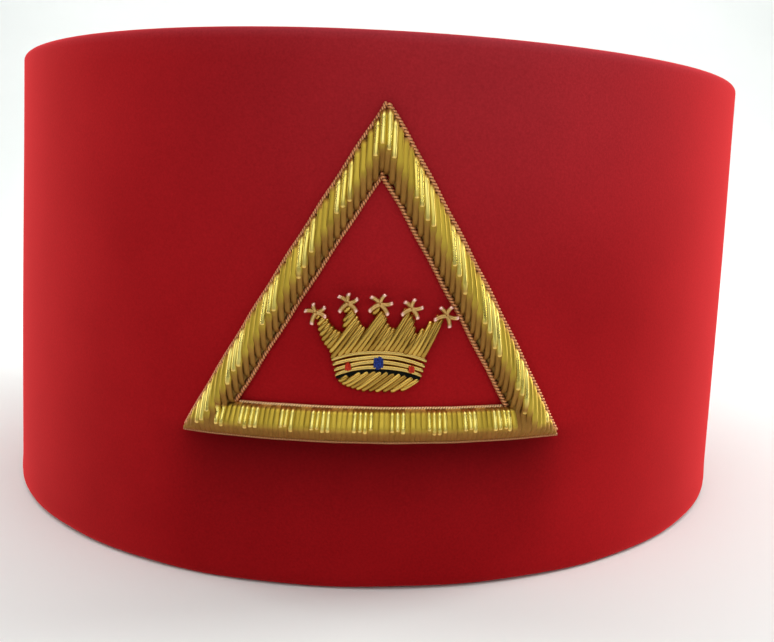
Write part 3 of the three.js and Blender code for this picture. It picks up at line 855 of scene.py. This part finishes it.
def lower_slope(u, v, bar):
    """How far a place is on the bars' lower slopes: 1 on them and 0 on the upper ones."""
    side, foot = across_bars(u, v)
    low = 1 - CREST - foot
    if bar != "base":
        low = np.maximum(low, side - CREST)
    return (low / DULL_BLEND + 0.5).clip(0, 1)


def painted_low_shade(u, v, bar):
    """How much painted shade darkens the wire, and how much rougher it is: fully on the bars' lower slopes
    and at their upper edges, and not between.
    """
    side, foot = across_bars(u, v)
    edge = 1 - foot if bar == "base" else side
    return np.maximum(lower_slope(u, v, bar), 1 - (edge / EDGE_SHADE_SHARE).clip(0, 1))


def lay_strand(strands, bar, line, part, kind, pitch, bow, lift=0.0, end=0.0):
    """Lays a strand on the part of its line between two shares, and returns the padding's line under it."""
    low, high = line
    s = part[0] + (part[1] - part[0]) * STRAND_STEPS
    place = low + (high - low) * s[:, None]
    place[:, 0] += bow * np.sin(np.pi * s)
    u, v = place.T
    half = pitch * STRAND_KINDS[kind]["overlap"] / 2
    flat = STRAND_KINDS[kind]["flat"]
    rise = (BAR_PADDING - 2 * half * flat - BRIGHT_LIFT) * ridge(u, v)
    out = outward(*place[len(s) // 2])
    path = lay(u, v, SEAT_GAP + half * flat + rise + lift * np.sqrt(ridge(u, v)))
    tone = rng.uniform(-1, 1)
    # Painted shade on the lower slopes and upper edges
    shade_marks = painted_low_shade(u, v, bar)
    strands.tube(path, half, STRAND_SIDES, kind, tone, tip=end, low=shade_marks, flat=flat, out=out)
    return lay(u, v, SEAT_GAP + PADDING_LIFT + rise * PADDING_SHARE)


def padded_bar(bar, polygon, lines, pitch):
    """Felt padding under dull wire laid side by side, with groups of bright strands on its upper slope."""
    strands = Bundle()
    columns = []
    kind, left_of_kind = BRIGHT, FIRST_OF_A_KIND
    for low, high in cut_lines(polygon, lines):
        if left_of_kind == 0:
            kind, left_of_kind = 1 - kind, int(rng.choice(STRANDS_OF_A_KIND))
        left_of_kind -= 1
        length = np.linalg.norm(high - low)
        if length < SHORTEST_STRAND:
            continue
        bow = rng.normal(0, STRAND_BOW)
        lit_end = DULL_END_LENGTH if kind == DULL and rng.uniform() < DULL_END_SHARE else 0.0
        columns.append(lay_strand(strands, bar, (low, high), (0, 1), DULL, pitch, bow, end=lit_end))
        place = low + (high - low) * STRAND_STEPS[:, None]
        slope = lower_slope(place[:, 0], place[:, 1], bar)
        start = np.interp(-0.5, -slope, STRAND_STEPS) + rng.normal(0, START_JITTER)
        if kind == BRIGHT and (1 - start) * length > SHORTEST_STRAND:
            part = (1, max(start, FIRST_START))
            lay_strand(strands, bar, (low, high), part, BRIGHT, pitch, bow, BRIGHT_LIFT, END_LENGTH)
    node = f"triangle_bar_{bar}"
    strands.make(f"{node}_strands", [WIRE["bright"], WIRE["dull"]], [node])
    if columns[0][0][0] > columns[-1][0][0]:
        columns.reverse()
    columns = np.array(columns)
    points = np.concatenate([columns.reshape(-1, 3), lay_back(columns).reshape(-1, 3)])
    faces = closed_pad_faces(*columns.shape[:2])
    pad = piece(f"{node}_padding", points, faces, [PADDING])


def lay_back(columns):
    """The same columns pressed down towards the cloth by a ruled line between their ends."""
    s = np.linspace(0, 1, columns.shape[1])[None, :, None]
    flat = columns[:, :1] * (1 - s) + columns[:, -1:] * s
    out = columns.mean(axis=1, keepdims=True) - flat.mean(axis=1, keepdims=True)
    size = np.linalg.norm(out, axis=2, keepdims=True)
    return flat - out / size * PADDING_BACK


def closed_pad_faces(rows, steps):
    """Faces of a pad made of a front and a back grid of rows x steps points."""
    grid = np.arange(rows * steps).reshape(rows, steps)
    rim = [*grid[0, :-1], *grid[:-1, -1], *grid[-1, :0:-1], *grid[:0:-1, 0]]
    rim = [int(point) for point in rim]
    front = grid_faces(rows, steps)
    back = [tuple(grid.size + point for point in reversed(face)) for face in front]
    sides = [(grid.size + a, a, b, grid.size + b) for a, b in zip(rim, rim[1:] + rim[:1])]
    return front + back + sides


def edge_cord(node, side, start, end, cut_start, cut_end, finish, apex):
    """A twisted cord from one corner to the next, cut short by these lengths in mm at its ends."""
    look = CORDS[side]
    radius = look["thick"] / 2 * MM
    rise = look["rise"] * MM
    length = np.linalg.norm(end - start)
    way = (end - start) / length
    count = int(length / rise * look["plies"] * CORD_STEPS)
    reach = np.linspace(cut_start * MM, length - cut_end * MM, count)
    wobble = look["wander"] * MM * np.sin(reach * WANDER_WAVES + rng.uniform(0, 6))
    place = start + way * reach[:, None] + wobble[:, None] * np.array([-way[1], way[0]])
    aside = place[:, 0] - apex[0] - APEX_SHIFT
    place[:, 0] -= aside * APEX_PINCH * np.exp((place[:, 1] - apex[1]) / APEX_REACH)
    path = lay(place[:, 0], place[:, 1], SEAT_GAP + radius)
    cord = Bundle()
    out = outward(*place[count // 2])
    twist = (look["plies"], rise, look["groove"] * MM)
    cord.tube(path, radius, CORD_SIDES, out=out, twist=twist)
    cord.make(f"{node}_plies", [CORD_WIRE[finish]], [node])


OUTER_FACE = corners(*edge_widths("outer", 1))
INNER_FACE = corners(*edge_widths("inner", 1))
SEAMS = {
    "left": INNER_FACE[1][0] - BARS["left"]["seam"] * MM,
    "right": INNER_FACE[2][0] + BARS["right"]["seam"] * MM,
}


def side_bar(bar):
    """One of the two side bars. It runs down to the triangle's lower edge at its corner."""
    corner = 1 if bar == "left" else 2
    outer, inner, seam = OUTER_FACE[corner], INNER_FACE[corner], SEAMS[bar]
    outline = [OUTER_FACE[0], outer, (seam, outer[1]), (seam, inner[1]), inner, INNER_FACE[0]]
    count = round(abs(seam) / SIDE_STRAND_PITCH)
    pitch = abs(seam) / count
    middle = (OUTER_FACE[0][1] + INNER_FACE[0][1]) / 2
    lines = []
    for i in range(int(abs(outer[0]) / pitch) + 1):
        u = math.copysign((i + 0.5) * pitch, seam)
        anchor = np.array([u, max(middle - abs(u) * SLOPE, outer[1])])
        lean = BARS[bar]["lean"] * min(1, i / LEAN_STARTS) * min(1, max(0, (count - i) / LEAN_ENDS))
        lines.append((anchor, lean + rng.normal(0, BARS[bar]["jitter"])))
    padded_bar(bar, outline, lines, pitch)


def base_bar():
    """The base bar, with upright ends near the inner corners."""
    left, right = SEAMS["left"], SEAMS["right"]
    foot, head = OUTER_FACE[1][1], INNER_FACE[1][1]
    outline = [(left, foot), (right, foot), (right, head), (left, head)]
    count = round((right - left) / BASE_STRAND_PITCH)
    pitch = (right - left) / count
    lines = []
    for i in range(count):
        anchor = np.array([left + (i + 0.5) * pitch, foot])
        lines.append((anchor, rng.normal(0, BARS["base"]["jitter"])))
    padded_bar("base", outline, lines, pitch)


def triangle():
    """The three padded bars and their edging cords."""
    side_bar("left")
    side_bar("right")
    base_bar()
    for edge in ("outer", "inner"):
        apex, left, right = corners(*edge_widths(edge, 0.5))
        cut = CUTS[edge]
        courses = [
            ("left", left, apex, cut["left"], cut["left_top"]),
            ("right", apex, right, cut["right_top"], cut["right"]),
            ("base", left, right, cut["base"], cut["base"]),
        ]
        for side, start, end, cut_start, cut_end in courses:
            finish = "foot" if (edge, side) == ("outer", "base") else side
            edge_cord(f"{edge}_cord_{side}", side, start, end, cut_start, cut_end, finish, apex)


# The crown

OPENING = corners(SIDE_BAR_WIDTH, SIDE_BAR_WIDTH, BASE_BAR_WIDTH)
APEX_OPEN, FOOT_OPEN, HALF_OPEN = OPENING[0][1], OPENING[2][1], OPENING[2][0]
CROWN_HALF = HALF_OPEN * CROWN_WIDTH_SHARE
CROWN_HEIGHT = (APEX_OPEN - FOOT_OPEN) * CROWN_HEIGHT_SHARE
BAND_PITCH = BAND_THICK + TRIM_GAP


def crown_place(across, up):
    """A place on the crown in shares of its half width and of its height."""
    across, up = np.broadcast_arrays(np.asarray(across, float), np.asarray(up, float))
    return np.stack([CROWN_OFFSET + across * CROWN_HALF, FOOT_OPEN + CROWN_LIFT + up * CROWN_HEIGHT], -1)


def band_top(k):
    """The band's upper edge at share k of its width."""
    return BAND_TOP + BAND_ARCH * (1 - (2 * k - 1) ** 2)


def band_line(strand, k):
    """The line of something on the band, any number of strands down from its top."""
    half = BAND_HALF + (BAND_FOOT_HALF - BAND_HALF) * strand / BAND_STRANDS
    place = crown_place(-half + 2 * half * k, band_top(k))
    place[..., 1] -= strand * BAND_PITCH
    return place


def under_band(place, strand):
    """Whether a place lies at the line that is this many strands down from the band's top."""
    k = (place[0] - CROWN_OFFSET) / CROWN_HALF / BAND_HALF / 2 + 0.5
    return abs(k - 0.5) < 0.5 and abs(band_line(strand, np.array(k))[1] - place[1]) < HIDDEN_REACH


def laid_strands(node, polygon, lines):
    """Strands side by side over low padding, cut to an outline, and full length where the band hides them."""
    look = LAID[node]
    pitch = look["pitch"] * MM
    radius = pitch * LAID_RADIUS
    full_rise = look["padding"] * MM - pitch * LAID_FLAT
    strands = Bundle()
    for low, high in cut_lines(polygon, lines):
        length = np.linalg.norm(high - low)
        if length < look["shortest"] * MM:
            continue
        way = (high - low) / length
        inset = min(END_INSET, length * INSET_SHARE)
        ends = []
        for end, sign in ((low, 1), (high, -1)):
            if not under_band(end, look["hidden"]):
                end = end + way * sign * (inset + rng.uniform(-END_UNEVEN, END_UNEVEN) * MM)
            ends.append(end)
        low, high = ends
        place = low + (high - low) * LAID_STEPS[:, None]
        rise = full_rise * min(1, length / LAID_FULL_LENGTH) + rng.normal(0, LAID_UNEVEN)
        w = SEAT_GAP + radius * LAID_FLAT + rise * np.sin(np.pi * LAID_STEPS).clip(0) ** LAID_SWELL
        path = lay(place[:, 0], place[:, 1], w)
        out = outward(*place[len(place) // 2])
        tone = rng.uniform(-1, 1)
        strands.tube(path, radius, LAID_SIDES, 0, tone, tip=LAID_TIP, flat=LAID_FLAT, out=out)
    return strands.make(f"{node}_strands", [WIRE["crown"]], [node])


def slanting_lines(node, up, lean_at):
    """Slanting lines from left to right, a pitch apart, with the lean that they have at each place."""
    look = LAID[node]
    foot = crown_place(0, up)[1]
    lines = []
    u = CROWN_OFFSET + look["from"] * CROWN_HALF
    while u < CROWN_OFFSET + CROWN_HALF:
        lean = lean_at((u - CROWN_OFFSET) / CROWN_HALF)
        lines.append((np.array([u, foot]), lean + rng.normal(0, look["jitter"])))
        u += look["pitch"] * MM / math.cos(math.radians(lean))
    return lines


def crown_body():
    """The crown above its band, of slanting strands that step along its sides and points."""
    k = np.linspace(1, 0, 15)
    look = LAID["crown_body"]
    polygon = np.concatenate([crown_place(*np.array(CROWN_OUTLINE).T), band_line(look["hidden"], k)])

    def lean_at(across):
        return look["lean"] - BODY_LEAN_FALL * np.clip((across + 1) / 2, 0, 1)

    laid_strands("crown_body", polygon, slanting_lines("crown_body", BAND_TOP, lean_at))


def crown_foot():
    """The lens of strands under the band."""
    k = np.linspace(0, 1, 21)
    across = -FOOT_HALF + 2 * FOOT_HALF * k
    upper = crown_place(across, band_top(k))
    upper[:, 1] -= BAND_STRANDS * BAND_PITCH + SHADE_THICK * FOOT_GAP
    lower = crown_place(across, FOOT_ARCH * abs(2 * k - 1) ** FOOT_BEND)
    lower[:, 1] = np.minimum(lower[:, 1], upper[:, 1] - FOOT_LEAST)
    polygon = np.concatenate([upper, lower[::-1]])

    def lean_at(across):
        return LAID["crown_foot"]["lean"] + FOOT_LEAN_RISE * abs(across - FOOT_LEAN_CENTRE)

    laid_strands("crown_foot", polygon, slanting_lines("crown_foot", 0, lean_at))


def band():
    """The band's arched strands, the dark thread under them that also stands in for their shadow, and the
    knots over them.
    """
    k = np.linspace(0, 1, BAND_STEPS)
    radius = BAND_THICK / 2 + BAND_FUZZ
    for i in range(BAND_STRANDS):
        strand = Bundle()
        place = band_line(i + 0.5, k)
        place[:, 1] += BAND_WANDER * np.sin(k * BAND_WAVES + 2 * i)
        path = lay(place[:, 0], place[:, 1], SEAT_GAP + BAND_LIFT + radius)
        out = outward(CROWN_OFFSET, place[BAND_STEPS // 2, 1])
        strand.tube(path, radius, BAND_SIDES, 0, rng.uniform(-0.5, 1), out=out)
        strand.make(f"band_strand_{i + 1}_wire", [WIRE["band"]], [f"band_strand_{i + 1}"])
    shade = Bundle()
    place = band_line(BAND_STRANDS, k)
    spread = SHADE_ENDS + (1 - SHADE_ENDS) * np.sin(np.pi * k)
    for down in SHADE_LINES:
        path = lay(place[:, 0], place[:, 1] - down * MM * spread, SEAT_GAP + SHADE_LIFT)
        shade.tube(path, SHADE_THICK * SHADE_RADIUS)
    shade.make("band_shade_silk", [THREAD["dark"]], ["band_shade_thread"])
    for jewel in JEWELS:
        knot(jewel)


def knot(jewel):
    """Threads laid side by side over the band."""
    half = BAND_HALF + (BAND_FOOT_HALF - BAND_HALF) * jewel["strand"] / BAND_STRANDS
    centre = band_line(jewel["strand"], np.array((jewel["across"] / half + 1) / 2))
    threads = Bundle()
    count = jewel["threads"]
    s = np.linspace(0, 1, 13)
    foot = SEAT_GAP + BAND_THICK * KNOT_SEAT + 2 * BAND_FUZZ
    for i in range(count):
        offset = (i - (count - 1) / 2) / count
        tall = jewel["tall"] * BAND_PITCH * (1 - KNOT_ROUND * offset * offset)
        tall *= rng.uniform(1 - KNOT_UNEVEN, 1 + KNOT_UNEVEN)
        u = centre[0] + offset * count * JEWEL_THREAD * KNOT_SPACING
        v = centre[1] + tall * (s - 0.5) + rng.normal(0, KNOT_WANDER)
        w = foot + (JEWEL_THREAD + KNOT_RISE) * np.sqrt(np.sin(np.pi * s).clip(0))
        slant = rng.normal(0, KNOT_SLANT) * (s - 0.5)
        tone = rng.uniform(-1, 1)
        threads.tube(lay(u + slant, v, w), JEWEL_THREAD / 2, tone=tone, out=outward(u, centre[1]))
    colour = jewel["colour"]
    threads.make(f"{jewel['name']}_knot", [THREAD[colour]], [jewel["name"]])


def stars():
    """Five short pieces of coiled wire round each point's tip, their cut ends raised."""
    for number, (across, up, directions) in enumerate(STARS):
        centre = crown_place(across, up)
        rays = Bundle()
        for order, (angle, length) in enumerate(directions):
            way = np.array([math.cos(math.radians(angle)), math.sin(math.radians(angle))])
            reach = np.linspace(RAY_FROM, length * RAY_TO, 11) * MM
            share = reach / reach[-1]
            curve = RAY_CURVE * np.sin(np.pi * share) * (1 if order % 2 else -1)
            place = centre + way * reach[:, None] + np.array([-way[1], way[0]]) * curve[:, None]
            lift = (RAY_STACK * order + RAY_LIFT) * MM
            w = SEAT_GAP + CROWN_PADDING + lift + RAY_RISE * share * (share - 0.5)
            path = lay(place[:, 0], place[:, 1], w)
            tone = rng.uniform(-1, 1)
            rays.tube(path, RAY_DIAMETER / 2, 12, tone=tone, tip=RAY_TIP, out=outward(*centre))
        rays.make(f"star_{number + 1}_rays", [WIRE["star"]], [f"star_{number + 1}"])


# The studio

def studio():
    """The floor, the lights, the room's light and the camera."""
    floor()
    for light in LIGHTS:
        area_light(*light)
    room_light()
    bpy.context.scene.view_settings.view_transform = "Standard"
    camera()


def floor():
    """A pale floor that sweeps up behind the cap."""
    f = Finish("pale_floor", Roughness=0.7)
    f.feed("Base Color", f.blend(f.noise(6, 3, 0.5), (238, 243, 242), (244, 248, 247)))
    profile = [(y, 0.0) for y in FLOOR_ROWS]
    for a in np.radians(np.linspace(9, 90, 10)):
        profile.append((FLOOR_ROWS[-1] + FLOOR_BEND * math.sin(a), FLOOR_BEND * (1 - math.cos(a))))
    profile.append((FLOOR_DEPTH, FLOOR_RISE))
    across = np.linspace(-FLOOR_REACH, FLOOR_REACH, 9)
    points = [(x, y, z) for x in across for y, z in profile]
    faces = grid_faces(len(across), len(profile))
    obj = smooth_object("floor", points, faces, [f.material])


def room_light():
    """Soft light from all round, paler from above and stronger from the sides."""
    world = bpy.data.worlds.new("studio")
    bpy.context.scene.world = world
    world.use_nodes = True
    n = Nodes(world.node_tree, "Background")
    way = n.node("SeparateXYZ", {0: n.node("TexCoord").outputs["Generated"]}).outputs
    n.feed("Color", n.ramp(way["Z"], (0.0, ROOM_BELOW), (0.5, ROOM_ABOVE)))
    n.feed("Strength", n.range(n.math("ABSOLUTE", way["X"]), 0, 1, ROOM_FRONT, ROOM_SIDES))


def area_light(name, place, target, size, power, colour):
    """A soft rectangular light turned to a target."""
    light = bpy.data.lights.new(name, "AREA")
    light.shape = "RECTANGLE"
    light.size, light.size_y = size
    light.energy = power
    light.color = colour
    obj = bpy.data.objects.new(name, light)
    obj.location = place
    ahead = Vector(target) - Vector(place)
    obj.rotation_euler = ahead.to_track_quat("-Z", "Y").to_euler()
    bpy.context.scene.collection.objects.link(obj)


def camera():
    """The photograph's viewpoint, fitted to the cap's outline in it."""
    yaw, pitch, roll = 0.0199, 0.1348, -0.021
    focal_pixels, image_width = 998.65, 774
    place = Vector((-1.53, -265.17, 67.74)) * MM
    ahead = Vector((math.sin(yaw) * math.cos(pitch), math.cos(yaw) * math.cos(pitch), -math.sin(pitch)))
    level = Vector((math.cos(yaw), -math.sin(yaw), 0))
    down = ahead.cross(level)
    right = level * math.cos(roll) + down * math.sin(roll)
    up = level * math.sin(roll) - down * math.cos(roll)
    data = bpy.data.cameras.new("camera")
    data.sensor_width = 36
    data.lens = focal_pixels / image_width * data.sensor_width
    data.clip_start = 0.01
    obj = bpy.data.objects.new("camera", data)
    obj.matrix_world = Matrix((right, up, -ahead)).transposed().to_4x4()
    obj.location = place
    bpy.context.scene.collection.objects.link(obj)
    bpy.context.scene.camera = obj


cap_side()
cap_top()
triangle()
crown_body()
crown_foot()
band()
stars()
studio()
